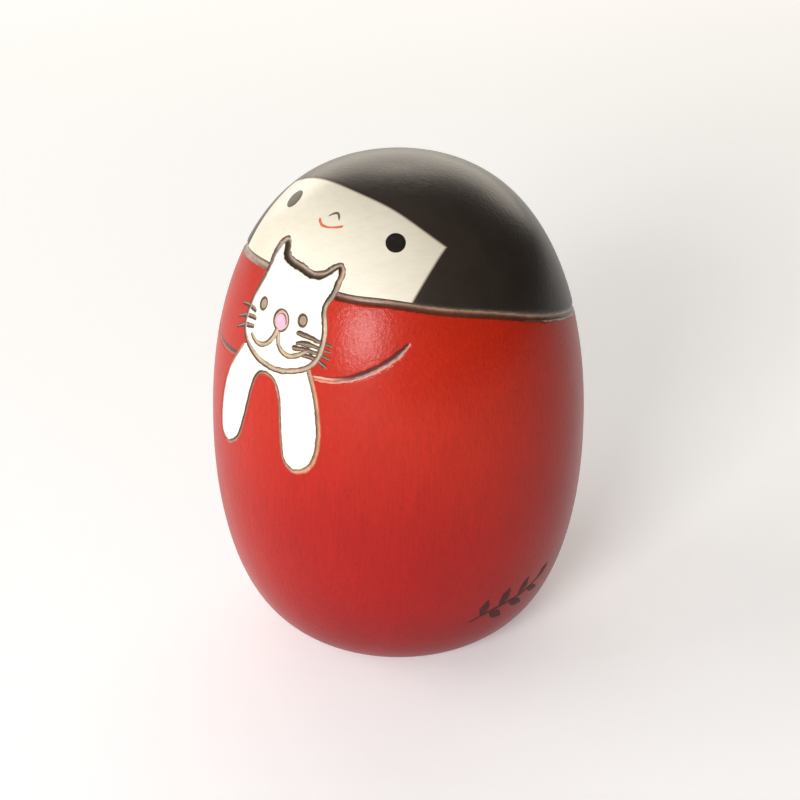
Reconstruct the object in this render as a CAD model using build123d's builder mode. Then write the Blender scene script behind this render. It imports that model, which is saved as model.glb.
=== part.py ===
from build123d import *
import math
import os

# Egg-shaped kokeshi doll that looks up, with a seated cat engraved on its front.
# Frame: origin at the centre of the flat foot, +Z up, the doll faces -Y. Millimetres.

# Turned outline
BODY_RADIUS = 32.5
TOTAL_HEIGHT = 85.0
EQUATOR_HEIGHT = 35.5
FOOT_RADIUS = 19.0
FOOT_ROUND = 3.0
CROWN_HEIGHT_POWER = 2.2
CROWN_RADIUS_POWER = 2.62
BELLY_RADIUS_POWER = 4.57
OUTLINE_STEPS = 10
LAST_CROWN_ANGLE = 84.0

# Neck line: an oblique plane, higher at the doll's front
NECK_HEIGHT = 65.2
NECK_TILT = 17.6
NECK_GROOVE_WIDTH = 1.1

# Layers and cuts, all measured inwards from the turned surface
COAT_DEPTH = 0.2
GROOVE_DEPTH = 0.45
SCORCH_DEPTH = 0.65

# Hidden glued dowel, square to the neck plane
DOWEL_RADIUS = 6.0
DOWEL_HALF_LENGTH = 13.0
DOWEL_CHAMFER = 1.0

# The picture is laid out on a plane that faces the doll's front from above
PICTURE_TILT = 30.0
PICTURE_REACH = 60.0
LEG_LINE = 0.8
ARM_LINE = 0.8
THIN_LINE = 0.6
FACE_LINE = 0.4
WHISKER_LINE = 0.45

# A brushed leaf sprig low on the doll's left side is laid out on an upright plane through the axis
SPRIG_AZIMUTH = 79.0
SPRIG_HEIGHT = 14.6
SPRIG_STEM_LINE = 0.5

picture_normal = Vector(0, -1, 0).rotate(Axis.X, -PICTURE_TILT)
picture_plane = Plane(origin=(0, 0, TOTAL_HEIGHT / 2), x_dir=(1, 0, 0), z_dir=picture_normal)
neck_normal = Vector(0, 0, 1).rotate(Axis.X, -NECK_TILT)
neck_plane = Plane(origin=(0, 0, NECK_HEIGHT), x_dir=(1, 0, 0), z_dir=neck_normal)
sprig_across = Vector(1, 0, 0).rotate(Axis.Z, SPRIG_AZIMUTH)
sprig_normal = Vector(0, -1, 0).rotate(Axis.Z, SPRIG_AZIMUTH)
sprig_plane = Plane(origin=(0, 0, SPRIG_HEIGHT), x_dir=sprig_across, z_dir=sprig_normal)


def outline_point(angle_deg, inset):
    """A point (radius, height) of the turned outline, moved inwards along its normal."""
    angle = math.radians(abs(angle_deg))
    if angle_deg >= 0:
        span = TOTAL_HEIGHT - EQUATOR_HEIGHT
        height_power = CROWN_HEIGHT_POWER
        radius_power = CROWN_RADIUS_POWER
        share = math.sin(angle) ** (2 / height_power)
        height = EQUATOR_HEIGHT + span * share
        slope_z = height_power * share ** (height_power - 1) / span
    else:
        span = EQUATOR_HEIGHT
        radius_power = BELLY_RADIUS_POWER
        flare = 1 - (FOOT_RADIUS / BODY_RADIUS) ** radius_power
        share = math.sin(angle) / math.sqrt(flare)
        height = EQUATOR_HEIGHT - span * share
        slope_z = -2 * flare * share / span
    radius = BODY_RADIUS * math.cos(angle) ** (2 / radius_power)
    slope_r = radius_power * (radius / BODY_RADIUS) ** (radius_power - 1) / BODY_RADIUS
    length = math.hypot(slope_r, slope_z)
    return (radius - inset * slope_r / length, height - inset * slope_z / length)


def outline_angles():
    """Outline angles from the foot (negative) over the equator (0) to just below the crown."""
    foot_angle = math.degrees(math.asin(math.sqrt(1 - (FOOT_RADIUS / BODY_RADIUS) ** BELLY_RADIUS_POWER)))
    lower = [-foot_angle * (1 - step / OUTLINE_STEPS) for step in range(OUTLINE_STEPS)]
    upper = [LAST_CROWN_ANGLE * step / OUTLINE_STEPS for step in range(OUTLINE_STEPS + 1)]
    return lower + upper


def turned_profile(inset, floor):
    """Half section of the doll: the outline moved inwards, closed along the floor and the axis."""
    side = [outline_point(angle, inset) for angle in outline_angles()]
    other_side = [(-radius, height) for radius, height in reversed(side)]
    with BuildSketch() as profile:
        with BuildLine():
            Spline(side + [(0, TOTAL_HEIGHT - inset)] + other_side)
            if floor < side[0][1]:
                Polyline(other_side[-1], (other_side[-1][0], floor), (side[0][0], floor), side[0])
            else:
                Line(other_side[-1], side[0])
        make_face()
        split(bisect_by=Plane.YZ, keep=Keep.TOP)
    return profile.sketch


def stroke(points, width):
    """A band of constant width along a smooth line through the points, with round ends."""
    with BuildSketch() as band:
        with BuildLine():
            centre = Spline(points, mode=Mode.PRIVATE)
            steps = 3 * len(points)
            left = []
            right = []
            for step in range(steps + 1):
                share = step / steps
                across = (centre % share).rotate(Axis.Z, 90) * (width / 2)
                left.append(centre @ share + across)
                right.append(centre @ share - across)
            Spline(left)
            Spline(right)
            ThreePointArc(left[0], centre @ 0 - (centre % 0) * (width / 2), right[0])
            ThreePointArc(left[-1], centre @ 1 + (centre % 1) * (width / 2), right[-1])
        make_face()
    return band.sketch


def closed_area(lines):
    """The area inside smooth lines that join end to end."""
    with BuildSketch() as area:
        with BuildLine():
            for points in lines:
                Spline(points)
        make_face()
    return area.sketch


def loop_area(points, side):
    """The area inside a closed smooth line, moved half its width out (side 1) or in (side -1)."""
    with BuildSketch() as area:
        with BuildLine():
            centre = Spline([(across, up) for across, up, width in points], periodic=True, mode=Mode.PRIVATE)
            moved = []
            for across, up, width in points:
                direction = centre % centre.param_at_point((across, up))
                outward = direction.rotate(Axis.Z, 90)
                moved.append(Vector(across, up) + outward * (side * width / 2))
            Spline(moved, periodic=True)
        make_face()
    return area.sketch


def oval(centre, half_width, half_height, turn=0):
    with BuildSketch() as shape:
        with Locations(centre):
            Ellipse(half_width, half_height, rotation=turn)
    return shape.sketch


def leaf(base, tip, width):
    """A pointed leaf between its base and tip, bounded by two arcs."""
    with BuildSketch() as shape:
        with BuildLine():
            middle = (Vector(*base) + Vector(*tip)) / 2
            across = (Vector(*tip) - Vector(*base)).normalized().rotate(Axis.Z, 90) * (width / 2)
            ThreePointArc(base, middle + across, tip)
            ThreePointArc(base, middle - across, tip)
        make_face()
    return shape.sketch


# Lines of the picture, as (across, up) from the picture plane's centre.
# Cat's head, clockwise from the neck line at the doll's right, with the line's width at each point
CAT_HEAD = [
    (-8.3, 14.4, 0.8), (-8.2, 16.8, 1.0), (-7.7, 18.8, 1.1), (-6.9, 19.6, 1.1), (-6.1, 19.0, 1.1),
    (-5.5, 17.7, 1.2), (-4.5, 16.8, 1.2), (-2.9, 16.5, 1.2), (-0.8, 16.1, 1.2), (1.4, 15.6, 1.2),
    (3.1, 16.1, 1.2), (4.4, 17.5, 1.1), (5.3, 18.2, 1.0), (6.0, 17.5, 1.0), (6.2, 15.8, 0.9),
    (5.9, 13.4, 0.8), (5.4, 11.4, 0.8), (5.9, 9.3, 0.7), (6.4, 6.6, 0.7), (6.4, 4.4, 0.7),
    (5.8, 2.6, 0.8), (4.4, 1.1, 0.9), (2.4, 0.1, 0.9), (-0.6, -0.7, 0.9), (-3.6, -0.6, 0.9),
    (-6.4, 0.2, 0.9), (-9.2, 2.0, 0.9), (-10.6, 4.0, 0.8), (-10.6, 6.6, 0.7), (-9.9, 9.4, 0.7),
    (-9.0, 11.9, 0.7),
]

# Cat's front legs, from the right shoulder round both paws to the left shoulder
CAT_LEG_RIGHT = [
    (-10.2, 1.2), (-12.0, -1.2), (-13.9, -4.1), (-15.1, -7.8), (-15.6, -12.0), (-15.0, -14.6), (-12.7, -15.8),
]
CAT_PAW_RIGHT = [
    (-12.7, -15.8), (-10.0, -14.4), (-8.3, -11.5), (-7.2, -8.0), (-6.2, -4.3), (-4.9, -2.3), (-3.4, -1.9),
]
CAT_PAW_LEFT = [
    (-3.4, -1.9), (-1.6, -2.5), (-0.1, -4.6), (0.6, -8.4), (1.1, -12.0), (1.9, -14.8), (3.7, -15.9),
]
CAT_LEG_LEFT = [(3.7, -15.9), (6.2, -14.7), (7.7, -12.0), (8.0, -8.5), (7.3, -4.4), (6.1, -1.1), (4.8, 1.3)]
CAT_LEGS = [CAT_LEG_RIGHT, CAT_PAW_RIGHT, CAT_PAW_LEFT, CAT_LEG_LEFT]
CAT_SHOULDERS = [(4.8, 1.3), (-3.0, 2.6), (-10.2, 1.2)]

# Cat's small features
CAT_EYES = [((-6.9, 8.6), 1.0, 1.15), ((2.1, 8.2), 1.0, 1.15)]
CAT_NOSE = ((-2.1, 7.0), 1.75, 1.9, 20)
CAT_NOSE_PAD = ((-2.15, 6.75), 1.0, 1.25, 20)
CAT_MOUTH_RIGHT = [(-2.5, 5.3), (-3.3, 3.9), (-4.7, 2.7), (-6.5, 2.6), (-8.1, 3.8)]
CAT_MOUTH_LEFT = [(-2.1, 4.9), (-1.6, 3.2), (-0.3, 2.1), (1.5, 2.2), (3.8, 3.7)]
WHISKERS_LEFT = [
    [(1.7, 5.8), (4.4, 6.3), (7.7, 6.0)],
    [(2.0, 4.6), (4.6, 5.2), (7.8, 5.0)],
    [(1.8, 3.5), (4.4, 4.1), (7.7, 3.9)],
    [(3.4, 2.7), (5.6, 3.1), (7.6, 2.6)],
]
WHISKERS_RIGHT = [
    [(-8.3, 7.1), (-10.2, 7.0), (-12.0, 6.2)],
    [(-8.1, 6.0), (-10.2, 5.6), (-12.3, 4.8)],
    [(-8.3, 4.9), (-10.3, 4.4), (-12.4, 3.6)],
]

# Doll's arms, lying round the cat
ARM_LEFT = [(6.0, 0.3), (9.0, 0.8), (12.9, 2.6), (15.9, 5.3), (17.6, 8.0), (18.5, 10.0)]
ARM_RIGHT = [(-11.7, -0.7), (-14.9, -0.6), (-18.5, 0.2), (-21.6, 1.7), (-24.4, 4.3), (-26.4, 7.8)]

# Doll's face: panel of bare wood, eyes, nose and mouth
PANEL_TOP = [
    (-17.0, 29.1), (-11.0, 30.5), (-5.0, 30.7), (1.2, 30.2), (7.5, 29.4), (12.9, 27.9), (17.4, 26.3),
]
PANEL_LEFT = [(17.4, 26.3), (17.5, 21.4), (17.0, 15.0)]
PANEL_RIGHT = [(-18.4, 15.0), (-18.3, 19.5), (-17.7, 24.5), (-17.0, 29.1)]
PANEL_BOTTOM = [(17.0, 15.0), (5.0, 9.0), (-5.0, 9.0), (-18.4, 15.0)]
EYES = [((-11.1, 26.2), 1.4, 1.45), ((11.3, 24.4), 1.4, 1.5)]
NOSE = [(-1.1, 25.2), (-0.5, 25.8), (0.1, 26.0), (0.6, 25.7), (1.1, 25.1)]
MOUTH = [(-2.4, 24.3), (-1.6, 23.6), (-0.6, 23.4), (0.8, 23.6), (2.3, 24.2)]

# Leaf sprig: the stem, then each leaf as its base on the stem, its tip and its width
SPRIG_STEM = [(-8.2, -2.2), (-5.0, -1.0), (-1.0, -0.3), (3.0, 0.3), (6.6, 1.6)]
SPRIG_LEAVES = [
    ((-6.2, -1.5), (-5.6, 2.2), 1.9),
    ((-4.6, -0.9), (-1.6, -3.4), 1.8),
    ((-2.6, -0.5), (-1.2, 3.2), 2.0),
    ((-0.6, -0.25), (2.9, -2.4), 1.8),
    ((1.6, 0.1), (3.2, 3.5), 1.8),
    ((3.6, 0.45), (6.8, -1.0), 1.6),
    ((6.2, 1.4), (8.8, 3.4), 1.6),
]

os.makedirs("parts", exist_ok=True)

# Flat shapes of the picture
cat_head_area = loop_area(CAT_HEAD, -1)
cat_legs_area = closed_area(CAT_LEGS + [CAT_SHOULDERS])
panel_area = closed_area([PANEL_TOP, PANEL_LEFT, PANEL_BOTTOM, PANEL_RIGHT])

with BuildSketch() as head_outline:
    add(loop_area(CAT_HEAD, 1))
    add(cat_head_area, mode=Mode.SUBTRACT)

with BuildSketch() as legs_outline:
    for line in CAT_LEGS:
        add(stroke(line, LEG_LINE))
    add(head_outline.sketch, mode=Mode.SUBTRACT)

with BuildSketch() as mouth_lines:
    for line in (CAT_MOUTH_RIGHT, CAT_MOUTH_LEFT):
        add(stroke(line, THIN_LINE))

with BuildSketch() as nose_ring:
    add(oval(*CAT_NOSE))
    add(oval(*CAT_NOSE_PAD), mode=Mode.SUBTRACT)
    add(mouth_lines.sketch, mode=Mode.SUBTRACT)

with BuildSketch() as left_whiskers:
    for line in WHISKERS_LEFT:
        add(stroke(line, WHISKER_LINE))
    add(head_outline.sketch, mode=Mode.SUBTRACT)
    add(mouth_lines.sketch, mode=Mode.SUBTRACT)

with BuildSketch() as right_whiskers:
    for line in WHISKERS_RIGHT:
        add(stroke(line, WHISKER_LINE))
    add(head_outline.sketch, mode=Mode.SUBTRACT)
    add(mouth_lines.sketch, mode=Mode.SUBTRACT)

with BuildSketch() as left_arm:
    add(stroke(ARM_LEFT, ARM_LINE))
    add(legs_outline.sketch, mode=Mode.SUBTRACT)
    add(head_outline.sketch, mode=Mode.SUBTRACT)

with BuildSketch() as right_arm:
    add(stroke(ARM_RIGHT, ARM_LINE))
    add(legs_outline.sketch, mode=Mode.SUBTRACT)


with BuildSketch() as leaf_sprig:
    add(stroke(SPRIG_STEM, SPRIG_STEM_LINE))
    for base, tip, width in SPRIG_LEAVES:
        add(leaf(base, tip, width))


def finish_piece(piece, name):
    """Label a finished piece and write it to its own file."""
    piece.part.label = name
    export_step(piece.part, "parts/" + name + ".step")


# Turned solids: the whole doll, and the same outline moved in to each layer's depth
with BuildPart() as turned:
    with BuildSketch(Plane.XZ):
        add(turned_profile(0, 0))
    revolve(axis=Axis.Z)
    fillet(turned.edges().group_by(Axis.Z)[0], FOOT_ROUND)


def turned_core(inset):
    """The doll's outline moved inwards, reaching below the floor."""
    with BuildPart() as core:
        with BuildSketch(Plane.XZ):
            add(turned_profile(inset, -1))
        revolve(axis=Axis.Z)
    return core.part


coat_core = turned_core(COAT_DEPTH)
groove_core = turned_core(GROOVE_DEPTH)
scorch_core = turned_core(SCORCH_DEPTH)


def picture_cut(shape, core, plane=picture_plane):
    """Everything behind a flat shape of the picture, from outside the doll down to a core."""
    with BuildPart() as cut:
        with BuildSketch(plane):
            add(shape)
        extrude(amount=PICTURE_REACH)
        add(core, mode=Mode.SUBTRACT)
    return cut.part


# Engraved lines: each is cut down to the scorch depth, and its scorched floor is a thin layer
engraved_shapes = {
    "cat_head_outline": head_outline.sketch,
    "cat_legs_outline": legs_outline.sketch,
    "cat_mouth": mouth_lines.sketch,
    "cat_nose_ring": nose_ring.sketch,
    "cat_right_eye": oval(*CAT_EYES[0]),
    "cat_left_eye": oval(*CAT_EYES[1]),
    "cat_left_whiskers": left_whiskers.sketch,
    "cat_right_whiskers": right_whiskers.sketch,
    "doll_left_arm": left_arm.sketch,
    "doll_right_arm": right_arm.sketch,
}
engraved_cuts = {name: picture_cut(shape, scorch_core) for name, shape in engraved_shapes.items()}

# Painted marks lie in a shallow recess, flush with the turned surface
painted_shapes = {
    "doll_right_eye": oval(*EYES[0]),
    "doll_left_eye": oval(*EYES[1]),
    "doll_nose": stroke(NOSE, FACE_LINE),
    "doll_mouth": stroke(MOUTH, FACE_LINE),
    "cat_nose_pad": oval(*CAT_NOSE_PAD),
}
painted_cuts = {name: picture_cut(shape, coat_core) for name, shape in painted_shapes.items()}
painted_cuts["leaf_sprig"] = picture_cut(leaf_sprig.sketch, coat_core, sprig_plane)
cat_head_cut = picture_cut(cat_head_area, coat_core)
cat_legs_cut = picture_cut(cat_legs_area, coat_core)
panel_cut = picture_cut(panel_area, coat_core)

# Groove round the neck: a slab along the neck plane, left out where the cat's head crosses it
with BuildPart() as neck_cut:
    with BuildSketch(neck_plane.offset(-NECK_GROOVE_WIDTH / 2)):
        Circle(2 * BODY_RADIUS)
    extrude(amount=NECK_GROOVE_WIDTH)
    add(scorch_core, mode=Mode.SUBTRACT)
    add(picture_cut(cat_head_area, scorch_core), mode=Mode.SUBTRACT)
    add(engraved_cuts["cat_head_outline"], mode=Mode.SUBTRACT)

# Dowel and the two turned blocks
with BuildPart() as neck_dowel:
    with BuildSketch(neck_plane.offset(-DOWEL_HALF_LENGTH)):
        Circle(DOWEL_RADIUS)
    extrude(amount=2 * DOWEL_HALF_LENGTH)
    dowel_ends = neck_dowel.edges().filter_by(GeomType.CIRCLE)
    chamfer(dowel_ends, DOWEL_CHAMFER)
    finish_piece(neck_dowel, "neck_dowel")

with BuildPart() as dowel_socket:
    with BuildSketch(neck_plane.offset(-DOWEL_HALF_LENGTH)):
        Circle(DOWEL_RADIUS)
    extrude(amount=2 * DOWEL_HALF_LENGTH)

with BuildPart() as carved_doll:
    add(turned.part)
    add(neck_cut.part, mode=Mode.SUBTRACT)
    add(cat_head_cut, mode=Mode.SUBTRACT)
    add(cat_legs_cut, mode=Mode.SUBTRACT)
    for cut in list(engraved_cuts.values()) + list(painted_cuts.values()):
        add(cut, mode=Mode.SUBTRACT)
    add(dowel_socket.part, mode=Mode.SUBTRACT)

with BuildPart() as body_block:
    add(carved_doll.part)
    split(bisect_by=neck_plane, keep=Keep.BOTTOM)
    finish_piece(body_block, "body_block")

# Hair lacquer covers the head above the neck groove, apart from the bare face panel
with BuildPart() as hair_lacquer:
    add(turned.part)
    add(coat_core, mode=Mode.SUBTRACT)
    split(bisect_by=neck_plane.offset(NECK_GROOVE_WIDTH / 2), keep=Keep.TOP)
    add(panel_cut, mode=Mode.SUBTRACT)
    finish_piece(hair_lacquer, "hair_lacquer")

with BuildPart() as head_block:
    add(carved_doll.part)
    split(bisect_by=neck_plane, keep=Keep.TOP)
    add(hair_lacquer.part, mode=Mode.SUBTRACT)
    finish_piece(head_block, "head_block")

# White lacquer of the cat, cut away along its engraved lines
with BuildPart() as cat_head_white:
    add(cat_head_cut)
    add(turned.part, mode=Mode.INTERSECT)
    for name in ("cat_head_outline", "cat_mouth", "cat_nose_ring", "cat_right_eye", "cat_left_eye",
                 "cat_left_whiskers", "cat_right_whiskers"):
        add(engraved_cuts[name], mode=Mode.SUBTRACT)
    add(painted_cuts["cat_nose_pad"], mode=Mode.SUBTRACT)
    finish_piece(cat_head_white, "cat_head_white")

with BuildPart() as cat_legs_white:
    add(cat_legs_cut)
    add(turned.part, mode=Mode.INTERSECT)
    add(cat_head_cut, mode=Mode.SUBTRACT)
    for name in ("cat_head_outline", "cat_legs_outline"):
        add(engraved_cuts[name], mode=Mode.SUBTRACT)
    finish_piece(cat_legs_white, "cat_legs_white")

# Scorched floors of the engraved lines
for name, cut in engraved_cuts.items():
    with BuildPart() as scorched_line:
        add(cut)
        add(groove_core, mode=Mode.INTERSECT)
        finish_piece(scorched_line, name)

with BuildPart() as neck_line:
    add(neck_cut.part)
    add(groove_core, mode=Mode.INTERSECT)
    finish_piece(neck_line, "neck_line")

# Painted marks, flush with the turned surface
for name, cut in painted_cuts.items():
    with BuildPart() as painted_mark:
        add(cut)
        add(turned.part, mode=Mode.INTERSECT)
        finish_piece(painted_mark, name)
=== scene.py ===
import bmesh
import bpy
import math
import numpy as np
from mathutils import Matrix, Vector


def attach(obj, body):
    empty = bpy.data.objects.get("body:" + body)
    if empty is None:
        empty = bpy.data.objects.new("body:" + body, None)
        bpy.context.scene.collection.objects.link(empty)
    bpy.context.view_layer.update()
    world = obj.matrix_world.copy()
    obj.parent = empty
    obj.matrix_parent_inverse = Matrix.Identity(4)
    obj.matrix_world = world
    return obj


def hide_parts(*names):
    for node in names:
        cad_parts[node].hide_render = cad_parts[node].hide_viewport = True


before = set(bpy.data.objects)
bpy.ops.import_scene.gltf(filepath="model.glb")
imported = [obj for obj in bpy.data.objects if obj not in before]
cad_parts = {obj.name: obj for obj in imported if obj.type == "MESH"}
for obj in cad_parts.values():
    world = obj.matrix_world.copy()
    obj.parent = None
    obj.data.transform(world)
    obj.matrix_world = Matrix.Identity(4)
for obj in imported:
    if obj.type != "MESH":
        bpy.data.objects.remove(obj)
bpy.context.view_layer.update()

# The doll's own sizes are in millimetres; meshes are written in metres.
MM = 0.001

# Turned outline, as in the CAD model
BODY_RADIUS = 32.5
TOTAL_HEIGHT = 85.0
EQUATOR_HEIGHT = 35.5
FOOT_RADIUS = 19.0
FOOT_ROUND = 1.2
CROWN_HEIGHT_POWER = 2.2
CROWN_RADIUS_POWER = 2.62
BELLY_RADIUS_POWER = 4.57

# Oblique neck plane, higher at the doll's front (-Y)
NECK_HEIGHT = 65.2
NECK_TILT = math.radians(17.6)
NECK_GROOVE_WIDTH = 1.4
# The hand-cut neck line's swells (height, azimuth, width) and ripples (height, waves round, start),
# with the angles in radians
NECK_SWELLS = [(-0.75, 0.30, 0.22), (0.55, 1.25, 0.45)]
NECK_RIPPLES = [(0.06, 5, 0.6), (0.03, 11, 0.0)]
# The dowel's socket, square to the neck plane
DOWEL_RADIUS = 6.0
DOWEL_HALF_LENGTH = 13.0

# The picture is laid out on a plane that faces the doll's front from above
PICTURE_TILT = math.radians(30.0)
# Its lines get narrower and wider by waves: share of the width, radians per mm across and up, start
TREMOR = [(0.07, 2.3, 1.9, 0.0), (0.06, 4.7, -3.9, 1.0), (0.05, 0.5, 8.1, 0.0)]

# The leaf sprig low on the doll's left side
SPRIG_AZIMUTH = 79.0
SPRIG_HEIGHT = 14.6
SPRIG_REACH_ACROSS = 12.0
SPRIG_REACH_UP = 5.0
SPRIG_STEP = 0.16
SPRIG_FILM = 0.02
SPRIG_THICKNESS = 0.12

# Rings of the foot as (radius, height): a flat rest, then a shallow turned hollow
FOOT_RINGS = [(16.5, 0.0), (15.5, 0.15), (11.0, 0.25), (6.0, 0.3), (1.2, 0.3)]
BARE_BELOW = 1.0

# Mesh spacing along the surface: fine over the picture and the head, coarse elsewhere
FINE_STEP = 0.3
COARSE_STEP = 1.1
CROWN_STEP = 0.45
COARSE_BELOW = 34.0
FINE_FROM = 38.0
CROWN_FROM = 84.3
FINE_HALF_ANGLE = math.radians(73)
PROFILE_SAMPLES = 3000
ROUND_SAMPLES = 60

# Fields: values under 0 lie inside a line or an area
FAR = 9.0  # where the line or area isn't near
NEAR_MARGIN = 3.0  # how far round a line's box its field is worked out
FRONT_FACING = 0.05  # the picture ends where the surface turns further from it than this cosine
SNAP = 0.015  # a field this close to a cut counts as on it
FIRST_FIELD = 6  # column of the first field in a point's row, after its place and its normal
BATCH = 4000  # places looked at together

# Depth of each engraved line's middle
ENGRAVED = {
    "head_line": 0.3, "legs_line": 0.2, "mouth_line": 0.2, "left_whiskers": 0.16, "right_whiskers": 0.16,
    "left_arm": 0.36, "right_arm": 0.3, "cat_nose": 0.2, "cat_right_eye": 0.16, "cat_left_eye": 0.16,
    "neck_band": 0.4,
}
EAR_DEPTH = 0.2  # added to the head line at its ears
GROOVE_RING = -0.45  # a further cut at this level of a line's field keeps its floor round
GROOVE_POWER = 0.8

# Where a line starts to look different, across or up, and the width over which it changes: this is
# under 0 where the change runs down or towards the doll's right
EARS_ABOVE = (10.0, 4.5)
EARS_ACROSS = (6.2, -0.8)
OUTER_LEG = (2.8, 1.5)
ARM_ROOT = (12.0, -4.0)
RIGHT_NECK = (2.0, -5.0)

# Height of lacquer and paint, and how far in from its edge it is reached
COAT_THICKNESS = 0.25
WHITE_RELIEF = (0.07, 0.8)
HAIR_RELIEF = (0.06, 0.35)
MARK_RELIEF = {
    "right_eye": (0.06, 0.25), "left_eye": (0.06, 0.25), "nose": (0.025, 0.7), "mouth": (0.025, 0.7),
}
SPRIG_RELIEF = (0.025, 0.6)

# Where the turning axis lies in each block's log, from the log's heart in metres, and the tool's rings
# under the foot, in radians per metre
BODY_AXIS_IN_LOG = (0.012, -0.006, 0.0)
HEAD_AXIS_IN_LOG = (0.010, -0.004, 0.0)
TOOL_RINGS = 9000.0

# Floor, camera and light, in metres, degrees and watts
FLOOR_SIZE = 6.0
FLOOR_DROP = 0.00002
FLOOR_GLOW = 0.22
BRIGHT_WALL_AZIMUTH = -60.0
WALL_TOP = 20.0
WALL_COLOUR = (0.58, 0.565, 0.54)
CEILING_FROM = 45.0
CEILING_COLOUR = (0.40, 0.40, 0.39)
CAMERA_AZIMUTH = 38.5
CAMERA_ELEVATION = 28.5
CAMERA_DISTANCE = 0.325
CAMERA_LENS = 83.59
CAMERA_SENSOR = 36
CAMERA_SHIFT = (0.002, -0.0098)
CAMERA_CLIP = (0.01, 20)
# name: azimuth, elevation, distance, size, power and colour
LAMPS = {
    "window": (15, 21, 0.8, (0.28, 0.30), 5.4, (1, 1, 1)),
    "left_fill": (-50, 18, 0.9, (0.7, 0.5), 3.3, (1, 1, 1)),
    "back_wall": (CAMERA_AZIMUTH + 178, 17, 1.0, (1.5, 0.5), 7.0, (1.0, 0.91, 0.78)),
}


# -------- lines on the picture plane

def unit(vectors):
    """The vectors at length 1."""
    return vectors / np.maximum(np.linalg.norm(vectors, axis=1, keepdims=True), 1e-12)


def smooth(value):
    """An eased step: 0 up to 0, 1 from 1 on, level at both ends."""
    value = np.clip(value, 0, 1)
    return value * value * (3 - 2 * value)


def change(value, start, width):
    """How far a change has come at a value: 0 at its start and 1 at its end."""
    return smooth((value - start) / width)


def tremor(places):
    """The unsteady hand and burning tool: how much narrower a line is than drawn, from place to place."""
    x, y = places.T
    return sum(share * np.sin(a * x + b * y + start) for share, a, b, start in TREMOR)


def smooth_line(points, closed=False, spacing=0.12):
    """A natural or periodic cubic spline through the points. Extra columns, such as a width, ride along."""
    knots = np.array(points, float)
    if closed:
        knots = np.vstack([knots, knots[:1]])
    gaps = np.hypot(*np.diff(knots[:, :2], axis=0).T)
    count = len(knots)
    system = np.zeros((count, count))
    target = np.zeros((count, knots.shape[1]))
    slopes = np.diff(knots, axis=0) / gaps[:, None]
    for i in range(1, count - 1):
        system[i, i - 1:i + 2] = gaps[i - 1], 2 * (gaps[i - 1] + gaps[i]), gaps[i]
        target[i] = 6 * (slopes[i] - slopes[i - 1])
    if closed:
        system[0, 0] = 2 * (gaps[-1] + gaps[0])
        system[0, 1] = gaps[0]
        system[0, count - 2] = gaps[-1]
        target[0] = 6 * (slopes[0] - slopes[-1])
        system[-1, 0] = 1
        system[-1, -1] = -1
    else:
        system[0, 0] = 1
        system[-1, -1] = 1
    bend = np.linalg.solve(system, target)
    rows = []
    for i, gap in enumerate(gaps):
        steps = max(2, int(math.ceil(gap / spacing)))
        t = (np.arange(steps) / steps * gap)[:, None]
        rows.append(
            (bend[i] * (gap - t) ** 3 + bend[i + 1] * t ** 3) / (6 * gap)
            + (knots[i] / gap - bend[i] * gap / 6) * (gap - t)
            + (knots[i + 1] / gap - bend[i + 1] * gap / 6) * t
        )
    rows.append(knots[-1:])
    return np.vstack(rows)


def near_line(places, line):
    """Distance from each place to a polyline, the line's extra columns at the nearest point, and the
    side of the line: -1 on the left of its direction and 1 on the right.
    """
    start = line[:-1]
    step = np.diff(line, axis=0)
    length2 = (step[:, :2] ** 2).sum(1) + 1e-12
    best = np.full(len(places), 1e9)
    extra = np.zeros((len(places), line.shape[1] - 2))
    side = np.ones(len(places))
    for begin in range(0, len(places), BATCH):
        batch = slice(begin, begin + BATCH)
        rel = places[batch][:, None, :] - start[None, :, :2]
        share = np.clip((rel * step[None, :, :2]).sum(2) / length2, 0, 1)
        gap = rel - share[..., None] * step[None, :, :2]
        dist = np.hypot(gap[..., 0], gap[..., 1])
        pick = dist.argmin(1)
        rows = np.arange(len(pick))
        best[batch] = dist[rows, pick]
        extra[batch] = start[pick, 2:] + share[rows, pick, None] * step[pick, 2:]
        from_start = rel[rows, pick]
        turn = step[pick, 0] * from_start[:, 1] - step[pick, 1] * from_start[:, 0]
        side[batch] = np.where(turn > 0, -1, 1)
    return best, extra, side


def inside_polygon(places, loop):
    """Whether each place lies inside a closed polyline."""
    odd = np.zeros(len(places), bool)
    for (x0, y0), (x1, y1) in zip(loop[:-1, :2], loop[1:, :2]):
        if y0 == y1:
            continue
        crosses = (places[:, 1] > min(y0, y1)) & (places[:, 1] <= max(y0, y1))
        edge_x = x0 + (places[:, 1] - y0) * (x1 - x0) / (y1 - y0)
        odd ^= crosses & (places[:, 0] < edge_x)
    return odd


def windowed(places, front, line):
    """Indices of the front places inside a line's box."""
    low = line[:, :2].min(0) - NEAR_MARGIN
    high = line[:, :2].max(0) + NEAR_MARGIN
    return np.nonzero(front & (places >= low).all(1) & (places <= high).all(1))[0]


def stroke_field(places, front, lines, closed=False):
    """Distance over half width from lines given as (across, up, width), in two forms: less 1, so that
    it is under 0 inside a line, and with the sign of the line's side.
    """
    field = np.full(len(places), FAR)
    sided = np.full(len(places), FAR)
    for points in lines:
        line = smooth_line(points, closed)
        near = windowed(places, front, line)
        dist, width, side = near_line(places[near], line)
        share = dist / (width[:, 0] / 2) * (1 + tremor(places[near]))
        closer = share - 1 < field[near]
        field[near[closer]] = share[closer] - 1
        sided[near[closer]] = (side * share)[closer]
    return field, sided


def area_field(places, front, line):
    """Signed distance from a closed polyline in millimetres: under 0 inside it."""
    field = np.full(len(places), FAR)
    near = windowed(places, front, line)
    dist = near_line(places[near], line)[0]
    field[near] = np.where(inside_polygon(places[near], line), -dist, np.minimum(dist, FAR))
    return field


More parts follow.
